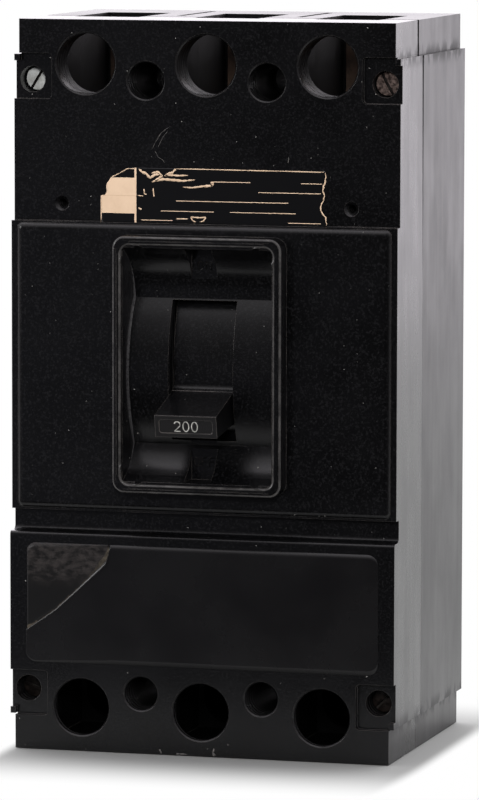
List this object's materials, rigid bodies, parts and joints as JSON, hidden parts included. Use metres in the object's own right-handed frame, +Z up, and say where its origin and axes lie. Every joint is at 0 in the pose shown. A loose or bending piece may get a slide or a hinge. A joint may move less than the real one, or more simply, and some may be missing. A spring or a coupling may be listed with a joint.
{
  "type": "moulded case circuit breaker",
  "caption": "Upright black moulded case circuit breaker with a toggle handle in a rimmed well, round tool holes at both ends and copper terminals inside open wire ways.",
  "frame": {"origin": "on the bottom (load) end face, at the middle of the bounding box in X and Y", "axes": "+Z up towards the line end, -Y out of the front, +X to the right seen from the front"},
  "size_m": [0.1396, 0.1188, 0.2572],
  "materials": {
    "base_phenolic": "satin",
    "cover_phenolic": "satin",
    "handle_phenolic": "satin",
    "steel": "worn",
    "zinc_plate": "bright",
    "rusty_steel": "rusty",
    "copper": "tarnished"
  },
  "bodies": {
    "case": {"base": "base_phenolic", "line_end_walls": "base_phenolic", "load_end_walls": "base_phenolic", "cover": "cover_phenolic", "pivot_pin": "steel", "load_shield_left": "base_phenolic", "load_shield_centre": "base_phenolic", "load_shield_right": "base_phenolic", "line_terminal_left": "copper", "line_fixing_screw_left": "steel", "line_terminal_centre": "copper", "line_fixing_screw_centre": "steel", "line_terminal_right": "copper", "line_fixing_screw_right": "steel", "load_terminal_left": "copper", "load_fixing_screw_left": "steel", "load_terminal_centre": "copper", "load_fixing_screw_centre": "steel", "load_terminal_right": "copper", "load_fixing_screw_right": "steel", "cover_screw_top_left": "zinc_plate", "cover_screw_top_right": "rusty_steel", "cover_screw_bottom_left": "rusty_steel", "cover_screw_bottom_right": "rusty_steel"},
    "handle": {"toggle_handle": "handle_phenolic"}
  },
  "joints": [
    {"name": "handle_throw", "type": "hinge", "parent": "case", "child": "handle", "pos_m": [0, 0.01742, 0.1346], "axis": [-1, 0, 0], "range_deg": [0, 28]}
  ]
}
